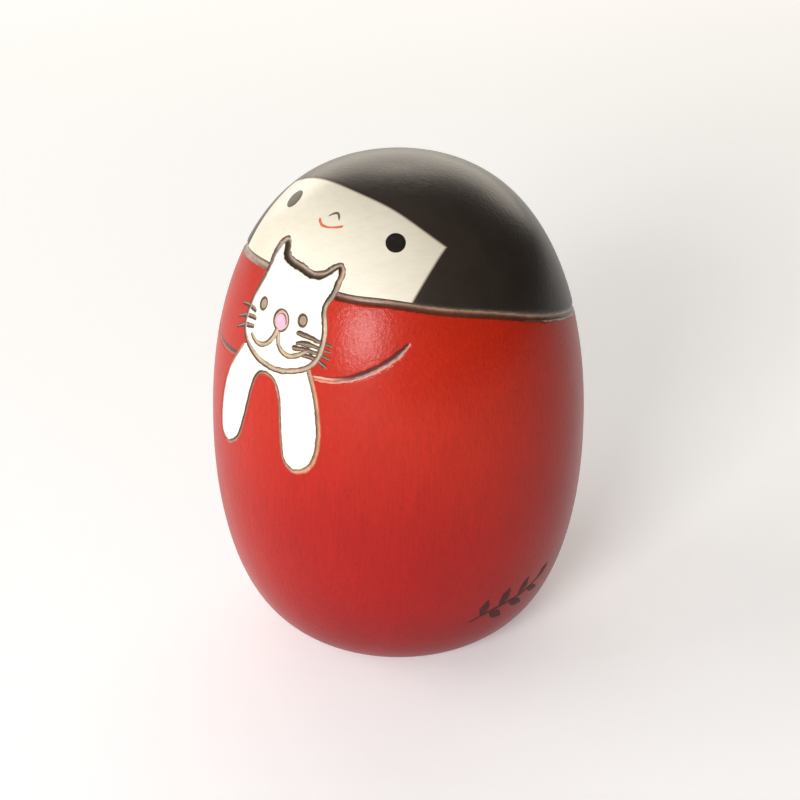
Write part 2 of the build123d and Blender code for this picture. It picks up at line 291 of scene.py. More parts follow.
def oval_field(places, front, across, up, half_width, half_height, turn):
    """About the distance over the half size, less 1, from an oval's centre: under 0 inside it."""
    cos, sin = math.cos(math.radians(turn)), math.sin(math.radians(turn))
    x = places[:, 0] - across
    y = places[:, 1] - up
    reach = np.hypot((x * cos + y * sin) / half_width, (y * cos - x * sin) / half_height) - 1
    return np.where(front, np.minimum(reach, FAR), FAR)


def joined(lines):
    """Smooth lines that join end to end, as one closed polyline."""
    parts = [smooth_line(points)[:, :2] for points in lines]
    return np.vstack(parts + [parts[0][:1]])


# -------- the picture
# Points are (across, up) from the middle of the doll, and the width of a line that is drawn there.

CAT_HEAD = [
    (-8.3, 14.4, 0.8), (-8.2, 16.8, 1.0), (-7.7, 18.8, 1.25), (-6.9, 19.6, 1.3), (-6.1, 19.0, 1.35),
    (-5.5, 17.7, 1.45), (-4.5, 16.8, 1.5), (-2.9, 16.4, 1.45), (-0.8, 16.0, 1.45), (1.4, 15.6, 1.4),
    (3.1, 16.1, 1.35), (4.4, 17.5, 1.2), (5.3, 18.2, 1.15), (6.0, 17.5, 1.1), (6.2, 15.8, 1.05),
    (5.9, 13.4, 1.0), (5.3, 11.3, 0.95), (5.9, 9.3, 1.0), (6.5, 6.6, 1.0), (6.4, 4.4, 0.95),
    (5.8, 2.6, 0.9), (4.4, 1.1, 0.9), (2.4, 0.1, 0.9), (-0.6, -0.7, 0.95), (-3.6, -0.6, 0.95),
    (-6.4, 0.2, 0.95), (-9.2, 2.0, 0.85), (-10.5, 4.0, 0.7), (-10.5, 6.6, 0.65), (-9.8, 9.4, 0.65),
    (-8.9, 11.9, 0.7),
]
LEG_RIGHT = [(-10.2, 1.2, 0.7), (-12.0, -1.2, 0.65), (-13.9, -4.1, 0.6), (-15.1, -7.8, 0.6),
             (-15.6, -12.0, 0.6), (-15.0, -14.6, 0.65), (-12.7, -15.8, 0.7)]
PAW_RIGHT = [(-12.7, -15.8, 0.7), (-10.0, -14.4, 0.65), (-8.3, -11.5, 0.6), (-7.2, -8.0, 0.6),
             (-6.2, -4.3, 0.6), (-4.9, -2.3, 0.65), (-3.4, -1.9, 0.7)]
PAW_LEFT = [(-3.4, -1.9, 0.7), (-1.6, -2.5, 0.7), (-0.1, -4.6, 0.65), (0.6, -8.4, 0.65),
            (1.1, -12.0, 0.65), (1.9, -14.8, 0.7), (3.7, -15.9, 0.75)]
LEG_LEFT = [(3.7, -15.9, 0.75), (6.2, -14.7, 0.85), (7.7, -12.0, 0.85), (8.0, -8.5, 0.9),
            (7.3, -4.4, 0.9), (6.1, -1.1, 0.9), (4.8, 1.3, 0.9)]
CAT_LEGS = [LEG_RIGHT, PAW_RIGHT, PAW_LEFT, LEG_LEFT]
SHOULDERS = [(4.8, 1.3), (-3.0, 2.6), (-10.2, 1.2)]
CAT_MOUTH = [
    [(-2.5, 5.3, 0.95), (-3.2, 3.8, 0.85), (-4.6, 2.5, 0.85), (-6.4, 2.25, 0.8), (-8.1, 3.2, 0.7)],
    [(-2.1, 4.9, 0.85), (-1.6, 3.2, 0.8), (-0.3, 2.2, 0.85), (1.5, 2.2, 0.85), (3.8, 3.6, 0.7)],
]
LEFT_WHISKERS = [
    [(1.8, 6.1, 0.75), (3.3, 6.1, 0.9), (5.6, 5.9, 0.6), (7.9, 5.8, 0.5)],
    [(2.0, 4.5, 0.55), (3.6, 4.9, 0.85), (5.7, 4.9, 0.6), (7.9, 4.8, 0.5)],
    [(1.6, 3.6, 0.85), (3.4, 3.9, 0.75), (5.9, 4.0, 0.6), (8.0, 3.7, 0.5)],
    [(3.4, 2.9, 0.6), (5.4, 3.1, 0.8), (7.7, 2.4, 0.65)],
]
RIGHT_WHISKERS = [
    [(-8.6, 7.1, 0.75), (-10.3, 7.5, 0.8), (-12.6, 7.5, 0.45)],
    [(-8.2, 5.9, 0.75), (-10.3, 5.9, 0.8), (-12.9, 5.3, 0.45)],
    [(-8.3, 4.5, 0.75), (-10.4, 4.3, 0.8), (-12.9, 3.5, 0.45)],
]
LEFT_ARM = [(6.0, 0.2, 1.0), (9.0, 0.7, 1.05), (12.9, 2.6, 1.15), (15.9, 5.4, 1.15), (17.6, 7.9, 1.0),
            (18.5, 10.0, 0.5)]
RIGHT_ARM = [(-12.3, -0.75, 1.0), (-14.9, -0.6, 1.1), (-18.5, 0.2, 1.1), (-21.6, 1.7, 1.05),
             (-24.4, 4.3, 0.9), (-26.4, 7.8, 0.4)]
PANEL_TOP = [(-17.0, 29.1), (-11.0, 30.5), (-5.0, 30.7), (1.2, 30.2), (7.5, 29.4), (12.9, 27.9),
             (17.4, 26.3)]
PANEL_LEFT = [(17.4, 26.3), (17.5, 21.4), (17.0, 14.0)]
PANEL_BOTTOM = [(17.0, 14.0), (5.0, 9.0), (-5.0, 9.0), (-18.5, 14.0)]
PANEL_RIGHT = [(-18.5, 14.0), (-18.3, 19.5), (-17.7, 24.5), (-17.0, 29.1)]
PANEL = [PANEL_TOP, PANEL_LEFT, PANEL_BOTTOM, PANEL_RIGHT]
NOSE = [(-1.1, 25.2, 0.25), (-0.5, 25.8, 0.36), (0.1, 26.0, 0.38), (0.6, 25.7, 0.36), (1.1, 25.1, 0.25)]
MOUTH = [(-2.4, 24.3, 0.4), (-1.6, 23.6, 0.42), (-0.6, 23.4, 0.38), (0.8, 23.6, 0.36), (2.3, 24.2, 0.45)]

# Oval fields: across, up, half width, half height and turn in degrees
OVALS = {
    "cat_nose": (-2.1, 7.05, 1.75, 1.9, 20), "cat_nose_pad": (-2.2, 6.75, 1.0, 1.3, 15),
    "cat_right_eye": (-6.9, 8.6, 1.0, 1.2, 0), "cat_left_eye": (2.1, 8.2, 0.98, 1.15, 10),
    "right_eye": (-11.1, 26.2, 1.5, 1.65, 0), "left_eye": (11.3, 24.4, 1.34, 1.7, 41),
}

# The leaf sprig's stem, on an upright plane that touches the doll's side
SPRIG_STEM = [(-8.2, -2.2, 0.3), (-5.0, -1.0, 0.5), (-1.0, -0.3, 0.6), (3.0, 0.3, 0.5), (6.6, 1.6, 0.4)]


def leaf(base, tip, width):
    """A pointed leaf as a stroke that is widest just past its middle."""
    (x0, y0), (x1, y1) = base, tip
    stops = [(0.0, 0.18), (0.25, 0.75), (0.55, 1.0), (0.85, 0.5), (1.0, 0.12)]
    return [(x0 + (x1 - x0) * t, y0 + (y1 - y0) * t, width * share) for t, share in stops]


SPRIG_LEAVES = [
    leaf((-6.2, -1.5), (-5.6, 2.2), 1.8), leaf((-4.6, -0.9), (-1.6, -3.4), 1.7),
    leaf((-2.6, -0.5), (-1.2, 3.2), 1.9), leaf((-0.6, -0.25), (2.9, -2.4), 1.7),
    leaf((1.6, 0.1), (3.2, 3.5), 1.7), leaf((3.6, 0.45), (6.8, -1.0), 1.5),
    leaf((6.2, 1.4), (8.8, 3.4), 1.5),
]

# Every line by its field's name. Outlines run with the white on their left, and arms and left whiskers
# with their upper side there.
LINES = {
    "head_line": [CAT_HEAD[::-1]], "legs_line": CAT_LEGS, "mouth_line": CAT_MOUTH,
    "left_whiskers": LEFT_WHISKERS, "right_whiskers": RIGHT_WHISKERS, "left_arm": [LEFT_ARM],
    "right_arm": [RIGHT_ARM[::-1]], "nose": [NOSE], "mouth": [MOUTH],
}


# -------- the turned surface

def arc_length(line):
    """Distance along a polyline up to each of its points."""
    return np.r_[0, np.cumsum(np.hypot(*np.diff(line, axis=0).T))]


def outline(step_at):
    """Rows (radius, height, normal) of the turned outline from the foot's edge to the crown.

    step_at(height) gives the spacing wanted at a height.
    """
    flare = 1 - (FOOT_RADIUS / BODY_RADIUS) ** BELLY_RADIUS_POWER
    lower = np.linspace(math.asin(math.sqrt(flare)), 0, PROFILE_SAMPLES)
    share = np.sin(lower) / math.sqrt(flare)
    low_radius = BODY_RADIUS * np.cos(lower) ** (2 / BELLY_RADIUS_POWER)
    low_height = EQUATOR_HEIGHT * (1 - share)
    upper = np.linspace(0, math.pi / 2, 2 * PROFILE_SAMPLES)[1:]
    share = np.sin(upper) ** (2 / CROWN_HEIGHT_POWER)
    up_radius = BODY_RADIUS * np.cos(upper).clip(0) ** (2 / CROWN_RADIUS_POWER)
    up_height = EQUATOR_HEIGHT + (TOTAL_HEIGHT - EQUATOR_HEIGHT) * share
    profile = np.vstack([np.c_[low_radius, low_height], np.c_[up_radius, up_height]])
    # the foot's edge is eased with a short curve from the flat foot to the side
    end = np.searchsorted(arc_length(profile), FOOT_ROUND)
    start, corner = np.array([FOOT_RADIUS - FOOT_ROUND, 0.0]), np.array([FOOT_RADIUS, 0.0])
    t = np.linspace(0, 1, ROUND_SAMPLES)[:, None]
    ease = (1 - t) ** 2 * start + 2 * t * (1 - t) * corner + t ** 2 * profile[end]
    line = np.vstack([ease, profile[end + 1:]])
    arc = arc_length(line)
    density = 1 / np.array([step_at(z) for z in line[:, 1]])
    load = np.r_[0, np.cumsum((density[1:] + density[:-1]) / 2 * np.diff(arc))]
    count = int(round(load[-1]))
    places = np.interp(np.linspace(0, load[-1], count + 1), load, arc)
    tangent = np.gradient(line, arc, axis=0)
    rows, tangent = (np.c_[np.interp(places, arc, x), np.interp(places, arc, z)]
                     for x, z in (line.T, tangent.T))
    tangent /= np.hypot(*tangent.T)[:, None]
    rows[-1, 0] = 0
    tangent[-1] = -1, 0
    return rows, np.c_[tangent[:, 1], -tangent[:, 0]]


def row_step(height):
    """The spacing wanted between rows at a height."""
    if height > CROWN_FROM:
        return CROWN_STEP
    share = np.clip((height - COARSE_BELOW) / (FINE_FROM - COARSE_BELOW), 0, 1)
    return COARSE_STEP + (FINE_STEP - COARSE_STEP) * share


def column_angles():
    """Azimuths round the doll, 0 at its front (-Y) and growing towards its left (+X)."""
    fine = np.arange(-FINE_HALF_ANGLE, FINE_HALF_ANGLE, FINE_STEP / BODY_RADIUS)
    coarse = np.arange(FINE_HALF_ANGLE, 2 * math.pi - FINE_HALF_ANGLE, COARSE_STEP / BODY_RADIUS)
    return np.r_[fine, coarse]


def spin(rows, turn):
    """Rows of (radius, height) repeated at every azimuth."""
    ring = np.c_[np.sin(turn), -np.cos(turn)]
    return np.concatenate([np.c_[ring * radius, np.full(len(turn), height)] for radius, height in rows])


def azimuths(places):
    """Each place's azimuth round the doll, in radians."""
    return np.arctan2(places[:, 0], -places[:, 1])


def turned_grid():
    """The doll's whole outside as a triangle grid: places, outward normals and triangles."""
    rows, normals = outline(row_step)
    turn = column_angles()
    places = np.vstack([spin(rows[:-1], turn), [0, 0, TOTAL_HEIGHT]])
    facing = np.vstack([spin(normals[:-1], turn), [0, 0, 1]])
    count = len(turn)
    here = np.arange(count)
    after = np.roll(here, -1)
    triangles = []
    for row in range(len(rows) - 2):
        low, high = row * count, (row + 1) * count
        # the diagonals alternate from row to row
        first, second = (high + after, here) if row % 2 else (high + here, after)
        triangles.append(np.c_[low + here, low + after, first])
        triangles.append(np.c_[low + second, high + after, high + here])
    last = (len(rows) - 2) * count
    triangles.append(np.c_[last + here, last + after, np.full(count, len(places) - 1)])
    return places, facing, np.concatenate(triangles)


# -------- fields over the surface

def neck_wave(places):
    """How far the hand-cut neck line leaves its plane round the doll."""
    turn = azimuths(places)
    swell = sum(height * np.exp(-((turn - middle) / width) ** 2) for height, middle, width in NECK_SWELLS)
    return swell + sum(height * np.sin(count * turn + start) for height, count, start in NECK_RIPPLES)


def surface_fields(places, facing):
    """Every line and area of the picture as a field over the surface."""
    across = places[:, 0]
    middle = TOTAL_HEIGHT / 2
    up = places[:, 1] * math.sin(PICTURE_TILT) + (places[:, 2] - middle) * math.cos(PICTURE_TILT)
    flat = np.c_[across, up]
    toward = facing[:, 2] * math.sin(PICTURE_TILT) - facing[:, 1] * math.cos(PICTURE_TILT)
    front = toward > FRONT_FACING
    above = (places[:, 2] - NECK_HEIGHT) * math.cos(NECK_TILT) + places[:, 1] * math.sin(NECK_TILT)
    above -= neck_wave(places)
    fields = {
        "neck": above,
        "neck_band": np.abs(above) / (NECK_GROOVE_WIDTH / 2) - 1,
        "head_loop": area_field(flat, front, smooth_line(CAT_HEAD, closed=True)[:, :2]),
        "legs_loop": area_field(flat, front, joined(CAT_LEGS + [SHOULDERS])),
        **{name: oval_field(flat, front, *oval) for name, oval in OVALS.items()},
        "panel": area_field(flat, front, joined(PANEL)),
    }
    sides = {
        "neck_band": above / (NECK_GROOVE_WIDTH / 2),
        # where a line looks different along its way, from 0 to 1
        "ears": change(up, *EARS_ABOVE) * change(across, *EARS_ACROSS),
        "outer_leg": change(across, *OUTER_LEG),
        "arm_root": change(across, *ARM_ROOT),
        "right_neck": change(across, *RIGHT_NECK),
    }
    for name, lines in LINES.items():
        fields[name], sides[name] = stroke_field(flat, front, lines, closed=name == "head_line")
    return fields, sides


def edges_of(triangles):
    return np.concatenate([triangles[:, [0, 1]], triangles[:, [1, 2]], triangles[:, [2, 0]]])


def turned_to(triangles, first):
    """The triangles' corners as three columns, each triangle starting at its given corner."""
    order = (first[:, None] + np.arange(3)) % 3
    return np.take_along_axis(triangles, order, axis=1).T


def cut_along(values, triangles, column, level=0.0):
    """Cuts every triangle where a field crosses a level, so that no triangle lies on both sides."""
    field = values[:, column] - level
    field[np.abs(field) < SNAP] = 0
    side = np.sign(field).astype(int)
    corner = side[triangles]
    crossing = (corner.min(1) < 0) & (corner.max(1) > 0)
    kept = triangles[~crossing]
    cut = triangles[crossing]
    corner = corner[crossing]
    edges = edges_of(cut)
    opposite = side[edges[:, 0]] * side[edges[:, 1]] < 0
    edges = np.unique(np.sort(edges[opposite], axis=1), axis=0)
    share = (field[edges[:, 0]] / (field[edges[:, 0]] - field[edges[:, 1]]))[:, None]
    added = values[edges[:, 0]] * (1 - share) + values[edges[:, 1]] * share
    added[:, column] = level
    key = edges[:, 0].astype(np.int64) * len(values) + edges[:, 1]

    def new_point(a, b):
        low, high = np.minimum(a, b).astype(np.int64), np.maximum(a, b)
        return len(values) + np.searchsorted(key, low * len(values) + high)

    pieces = [kept]
    has_zero = (corner == 0).any(1)
    a, b, c = turned_to(cut[has_zero], np.argmax(corner[has_zero] == 0, axis=1))
    bc = new_point(b, c)
    pieces += [np.c_[a, b, bc], np.c_[a, bc, c]]
    alone = corner[~has_zero]
    a, b, c = turned_to(cut[~has_zero], np.argmax(alone != np.sign(alone.sum(1))[:, None], axis=1))
    ab, ac = new_point(a, b), new_point(a, c)
    pieces += [np.c_[a, ab, ac], np.c_[ab, b, c], np.c_[ab, c, ac]]
    values = np.vstack([values, added])
    values[:len(field)][field == 0, column] = level
    return values, np.concatenate(pieces)


# -------- regions, depths and pieces

# Region of each mark and the field that is under 0 there. Earlier regions win.
MARKS = {
    "doll_right_eye": "right_eye", "doll_left_eye": "left_eye", "doll_nose": "nose", "doll_mouth": "mouth",
    "cat_nose_pad": "cat_nose_pad", "cat_mouth": "mouth_line", "cat_nose_ring": "cat_nose",
    "cat_right_eye": "cat_right_eye", "cat_left_eye": "cat_left_eye", "cat_head_outline": "head_line",
    "cat_left_whiskers": "left_whiskers", "cat_right_whiskers": "right_whiskers",
    "cat_legs_outline": "legs_line", "doll_left_arm": "left_arm", "doll_right_arm": "right_arm",
}
# Areas, later ones over earlier ones: the field that is under 0 there
AREAS = {"neck_line": "neck_band", "cat_legs_white": "legs_loop", "cat_head_white": "head_loop"}


def nearest_line(field):
    """The least of the picture's engraved fields, in half widths from a line's edge."""
    return np.min([field[name] for name in ENGRAVED if name != "neck_band"], axis=0)


def raised(inside, height, ease):
    """Height of a coat at places that lie inside its edge by some distance."""
    return height * smooth(inside / ease)


def relief(field, ears):
    """Height of the surface over the turned outline: cut lines go in, lacquer stands proud."""
    outside_head = (field["head_loop"] > 0) & (field["head_line"] > 0)
    band = np.where(outside_head, field["neck_band"], FAR)
    white = (field["head_loop"] < 0) | (field["legs_loop"] < 0)
    lift = np.where(white, raised(nearest_line(field), *WHITE_RELIEF), 0)
    hair = ~white & (field["neck"] > 0) & (field["panel"] > 0)
    hair_edge = np.minimum(field["panel"], band * NECK_GROOVE_WIDTH / 2)
    lift += np.where(hair, raised(hair_edge, *HAIR_RELIEF), 0)
    for name, (height, ease) in MARK_RELIEF.items():
        lift += raised(-field[name], height, ease)
    cut = np.zeros(len(lift))
    for name, depth in ENGRAVED.items():
        share = (band if name == "neck_band" else field[name]) + 1
        if name == "head_line":
            depth = depth + EAR_DEPTH * ears
        cut = np.maximum(cut, depth * np.clip(1 - share ** 2, 0, 1) ** GROOVE_POWER)
    return np.where(cut > 0, -cut, lift)


def corner_normals(places, triangles):
    """Vertex normals weighted by each triangle's corner angle."""
    a, b, c = (places[triangles[:, i]] for i in range(3))
    flat = np.cross(b - a, c - a)
    real = np.linalg.norm(flat, axis=1, keepdims=True) > 1e-9
    flat = unit(flat)
    total = np.zeros_like(places)
    for i, (p, q, r) in enumerate(((a, b, c), (b, c, a), (c, a, b))):
        cos = (unit(q - p) * unit(r - p)).sum(1)
        share = flat * np.arccos(np.clip(cos, -1, 1))[:, None] * real
        for axis in range(3):
            total[:, axis] += np.bincount(triangles[:, i], share[:, axis], len(places))
    return unit(total)


def carve():
    """The doll's outside, cut along every line of the picture and pressed in or raised.

    While it is cut, each point is one row: its place, its outward normal, its fields and its sides.
    """
    places, facing, triangles = turned_grid()
    fields, sides = surface_fields(places, facing)
    values = np.c_[places, facing, np.column_stack([*fields.values(), *sides.values()])]
    column = {name: FIRST_FIELD + i for i, name in enumerate(fields)}
    for name in fields:
        values, triangles = cut_along(values, triangles, column[name])
    for name in ENGRAVED:
        values, triangles = cut_along(values, triangles, column[name], GROOVE_RING)
    first_side = FIRST_FIELD + len(fields)
    fields = {name: values[:, column[name]] for name in fields}
    sides = {name: values[:, first_side + i] for i, name in enumerate(sides)}
    facing = unit(values[:, 3:6])
    lift = relief(fields, sides["ears"])
    surface = values[:, :3] + facing * lift[:, None]
    shaped = np.zeros(len(surface), bool)
    shaped[triangles[(lift[triangles] != 0).any(1)].ravel()] = True
    normals = np.where(shaped[:, None], corner_normals(surface, triangles), facing)
    return surface, normals, facing, triangles, fields, sides


def name_regions(field, triangles):
    """The region of every triangle, by name."""
    mean = {name: values[triangles].mean(1) for name, values in field.items()}
    names = np.full(len(triangles), "body_block", dtype="U24")
    names[mean["neck"] > 0] = "hair_lacquer"
    names[(mean["neck"] > 0) & (mean["panel"] < 0)] = "head_block"
    for areas in (AREAS.items(), reversed(MARKS.items())):
        for region, name in areas:
            names[mean[name] < 0] = region
    return names, mean["neck"] < 0


surface, normals, facing, triangles, fields, sides = carve()
region, lower = name_regions(fields, triangles)


# -------- building the meshes

def boundary(faces):
    """The open edges of a set of triangles, in the direction that their triangle runs."""
    edges = edges_of(faces)
    low, high = edges.min(1).astype(np.int64), edges.max(1)
    _, start, count = np.unique(low * (faces.max() + 1) + high, return_index=True, return_counts=True)
    return edges[start[count == 1]]


def loop_order(edges):
    """The points of one closed loop of directed edges, in order."""
    after = dict(edges.tolist())
    point = int(edges[0, 0])
    loop = [point]
    while after[point] != loop[0]:
        point = after[point]
        loop.append(point)
    return loop


def add_object(name, data):
    """A new object in the scene."""
    thing = bpy.data.objects.new(name, data)
    bpy.context.collection.objects.link(thing)
    return thing


def make_piece(name, places, faces, smooth_normals, attributes, material):
    """A Blender mesh object from millimetre data, riding on the root and standing for its CAD node."""
    used, faces = np.unique(faces, return_inverse=True)
    faces = faces.reshape(-1, 3)
    mesh = bpy.data.meshes.new(name)
    mesh.from_pydata((places[used] * MM).tolist(), [], faces.tolist())
    for attribute, values in attributes.items():
        layer = mesh.attributes.new(attribute, "FLOAT", "POINT")
        layer.data.foreach_set("value", values[used].astype(np.float32))
    mesh.polygons.foreach_set("use_smooth", np.ones(len(faces), bool))
    mesh.normals_split_custom_set_from_vertices(smooth_normals[used].tolist())
    mesh.materials.append(material)
    piece = add_object(name, mesh)
    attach(piece, "root")
    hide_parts(name)


def side_walls(edges, count):
    """Walls from each open edge of an upper layer down to its copy, which starts count points later."""
    a, b = edges.T
    return np.concatenate([np.c_[b, a, a + count], np.c_[b, a + count, b + count]])


def coat_piece(name, outer, top, attributes, material, thickness=COAT_THICKNESS):
    """Triangles of an upper surface as a thin closed layer: the surface, a copy under it and the rim.

    top holds the surface's places, its normals and the directions that the copy moves in.
    """
    places, soft, outward = top
    under = outer[:, ::-1] + len(places)
    faces = np.concatenate([outer, under, side_walls(boundary(outer), len(places))])
    doubled = {key: np.r_[value, value] for key, value in attributes.items()}
    places = np.vstack([places, places - outward * thickness])
    make_piece(name, places, faces, np.vstack([soft, -outward]), doubled, material)


class Block:
    """A turned block of wood, built up from the shared surface: more points join as faces are added."""

    def __init__(self, name, mine):
        self.places = np.vstack([surface, surface - facing * COAT_THICKNESS])
        self.soft = np.vstack([normals, facing])
        outer = triangles[mine]
        bare = region[mine] == name
        count = len(surface)
        # a step leads down from the bare wood to the wood under the coats
        whole = {tuple(sorted(edge)) for edge in boundary(outer).tolist()}
        step = [edge for edge in boundary(outer[bare]).tolist() if tuple(sorted(edge)) not in whole]
        self.faces = [np.where(bare[:, None], outer, outer + count), side_walls(np.array(step), count)]

    def ring(self, places, soft):
        """Adds a ring of points and gives their indices."""
        start = len(self.places)
        self.places = np.vstack([self.places, places])
        self.soft = np.vstack([self.soft, np.tile(soft, (len(places), 1))])
        return start + np.arange(len(places))

    def bridge(self, upper, lower):
        """Faces between two rings with the same number of points."""
        after_upper = np.roll(upper, -1)
        after_lower = np.roll(lower, -1)
        self.faces.append(np.c_[after_upper, upper, lower])
        self.faces.append(np.c_[after_upper, lower, after_lower])

    def close(self, ring, centre, soft):
        """Faces from a ring to one point."""
        point = self.ring(np.array([centre]), soft)
        self.faces.append(np.c_[np.roll(ring, -1), ring, np.full(len(ring), point[0])])

    def open_loops(self):
        """The block's open rims in order, the lowest first."""
        edges = boundary(np.concatenate(self.faces))
        loops = []
        while len(edges):
            loop = loop_order(edges)
            loops.append(np.array(loop))
            edges = edges[~np.isin(edges[:, 0], loop)]
        return sorted(loops, key=lambda loop: self.places[loop, 2].mean())


def cut_neck_face(block, loop, up):
    """The flat neck face with its dowel socket, which runs up (1) or down (-1) from it."""
    axis = np.array([0, math.sin(NECK_TILT), math.cos(NECK_TILT)])
    centre = np.array([0, 0, NECK_HEIGHT])
    turn = azimuths(block.places[loop])
    level = np.c_[np.sin(turn), -np.cos(turn) * math.cos(NECK_TILT), np.cos(turn) * math.sin(NECK_TILT)]
    mouth = centre + level * DOWEL_RADIUS
    deep = axis * DOWEL_HALF_LENGTH * up
    mouth_ring = block.ring(mouth, -axis * up)
    floor_ring = block.ring(mouth + deep, -axis * up)
    block.bridge(loop, mouth_ring)
    block.bridge(mouth_ring, floor_ring)
    block.close(floor_ring, centre + deep, -axis * up)


def turn_foot(block, loop):
    """The underside: a flat rest and a shallow turned hollow inside it."""
    down = np.array([0, 0, -1])
    turn = azimuths(block.places[loop])
    ring = loop
    for row in FOOT_RINGS:
        inner = block.ring(spin([row], turn), down)
        block.bridge(ring, inner)
        ring = inner
    block.close(ring, (0, 0, FOOT_RINGS[-1][1]), down)


def block_piece(name, mine, up, material):
    """A turned block: bare where its wood shows, recessed under its coats, with its neck face and foot."""
    block = Block(name, mine)
    loops = block.open_loops()
    cut_neck_face(block, loops[-1] if name == "body_block" else loops[0], up)
    if name == "body_block":
        turn_foot(block, loops[0])
    foot = np.hypot(block.places[:, 0], block.places[:, 1]) < FOOT_RADIUS - 2 * FOOT_ROUND
    bare = (foot & (block.places[:, 2] < BARE_BELOW)).astype(float)
    attributes = {"bare": bare}
    spare = np.full(len(block.places) - 2 * len(surface), FAR)
    for key, value in piece_attributes(name).items():
        attributes[key] = np.r_[value, value, spare]
    make_piece(name, block.places, np.concatenate(block.faces), block.soft, attributes, material)


# -------- the brushed leaf sprig

def leaf_sprig(material):
    """Thin brush paint low on the doll's left side, on its own fine patch of the turned surface."""
    rows, row_normals = outline(lambda height: SPRIG_STEP)
    picked = np.abs(rows[:, 1] - SPRIG_HEIGHT) < SPRIG_REACH_UP
    rows, row_normals = rows[picked], row_normals[picked]
    middle = math.radians(SPRIG_AZIMUTH)
    turn = middle + np.arange(-SPRIG_REACH_ACROSS, SPRIG_REACH_ACROSS, SPRIG_STEP) / BODY_RADIUS
    places = spin(rows, turn)
    outward = spin(row_normals, turn)
    row, column = np.mgrid[0:len(rows) - 1, 0:len(turn) - 1]
    corner = (row * len(turn) + column).ravel()
    above = corner + len(turn)
    patch = np.concatenate([np.c_[corner, corner + 1, above + 1], np.c_[corner, above + 1, above]])
    across = places[:, 0] * math.cos(middle) + places[:, 1] * math.sin(middle)
    flat = np.c_[across, places[:, 2] - SPRIG_HEIGHT]
    share, _ = stroke_field(flat, np.ones(len(flat), bool), [SPRIG_STEM] + SPRIG_LEAVES)
    values, patch = cut_along(np.c_[places, outward, share], patch, FIRST_FIELD)
    patch = patch[values[patch, FIRST_FIELD].mean(1) < 0]
    outward = unit(values[:, 3:6])
    share = np.minimum(values[:, FIRST_FIELD], 0)
    painted = values[:, :3] + outward * (SPRIG_FILM + raised(-share, *SPRIG_RELIEF))[:, None]
    used, patch = np.unique(patch, return_inverse=True)
    patch = patch.reshape(-1, 3)
    top = painted[used], corner_normals(painted[used], patch), outward[used]
    coat_piece("leaf_sprig", patch, top, {}, material, SPRIG_THICKNESS)


# -------- materials

class Shader:
    """A material's node tree, built one node at a time."""

    def __init__(self, name):
        self.material = bpy.data.materials.new(name)
        self.material.use_nodes = True
        self.tree = self.material.node_tree
        self.surface = self.tree.nodes["Principled BSDF"]

    def add(self, kind, inputs=None, **settings):
        """A node of a kind, with values or other nodes' outputs on its inputs."""
        node = self.tree.nodes.new("ShaderNode" + kind)
        for key, value in settings.items():
            setattr(node, key, value)
        for key, value in (inputs or {}).items():
            self.put(node.inputs[key], value)
        return node

    def put(self, socket, value):
        if isinstance(value, bpy.types.NodeSocket):
            self.tree.links.new(value, socket)
        else:
            socket.default_value = value

    def finish(self, **inputs):
        """Sets the surface's inputs, named with _ for each space, and gives the material."""
        for key, value in inputs.items():
            self.put(self.surface.inputs[key.replace("_", " ")], value)
        return self.material

    def place(self):
        """Where a point lies, in metres from the middle of the doll's foot."""
        return self.add("TexCoord").outputs["Object"]

    def mapped(self, place, **settings):
        return self.add("Mapping", {"Vector": place, **settings}).outputs["Vector"]

    def height(self):
        """Height over the floor in metres."""
        return self.add("SeparateXYZ", {"Vector": self.place()}).outputs["Z"]

    def length(self, vector):
        return self.add("VectorMath", {0: vector}, operation="LENGTH").outputs["Value"]

    def radius(self, place):
        """Distance of a place from the upright line through its origin."""
        parts = self.add("SeparateXYZ", {"Vector": place}).outputs
        return self.length(self.add("CombineXYZ", {"X": parts["X"], "Y": parts["Y"]}).outputs[0])

    def noise(self, scale, detail=3.0, roughness=0.5):
        """Noise with a scale per axis, in units per metre."""
        place = self.mapped(self.place(), Scale=scale)
        inputs = {"Vector": place, "Scale": 1.0, "Detail": detail, "Roughness": roughness}
        return self.add("TexNoise", inputs).outputs["Fac"]

    def ramp(self, value, stops, ease=False):
        """Colours over a value. A stop is its position with a grey or with red, green and blue."""
        node = self.add("ValToRGB", {"Fac": value})
        node.color_ramp.interpolation = "EASE" if ease else "LINEAR"
        elements = node.color_ramp.elements
        while len(elements) < len(stops):
            elements.new(0.5)
        for element, (position, *colour) in zip(elements, stops):
            element.position = position
            element.color = (*colour, 1.0) if len(colour) == 3 else (*colour * 3, 1.0)
        return node.outputs["Color"]

    def mix(self, share, first, second, blend="MIX"):
        node = self.add("Mix", data_type="RGBA", blend_type=blend)
        for index, value in ((0, share), (6, first), (7, second)):
            if isinstance(value, tuple):
                value = (*value, 1.0)
            self.put(node.inputs[index], value)
        return node.outputs[2]

    def shaded(self, share, colour, value, stops):
        """A colour multiplied in part by a ramp of greys over a value."""
        return self.mix(share, colour, self.ramp(value, stops), "MULTIPLY")

    def maths(self, operation, *values):
        node = self.add("Math", operation=operation)
        for socket, value in zip(node.inputs, values):
            self.put(socket, value)
        return node.outputs[0]

    def attribute(self, name):
        return self.add("Attribute", attribute_name=name).outputs["Fac"]

    def bump(self, height, distance, strength=1.0, after=None):
        inputs = {"Height": height, "Distance": distance, "Strength": strength}
        if after is not None:
            inputs["Normal"] = after
        return self.add("Bump", inputs).outputs["Normal"]


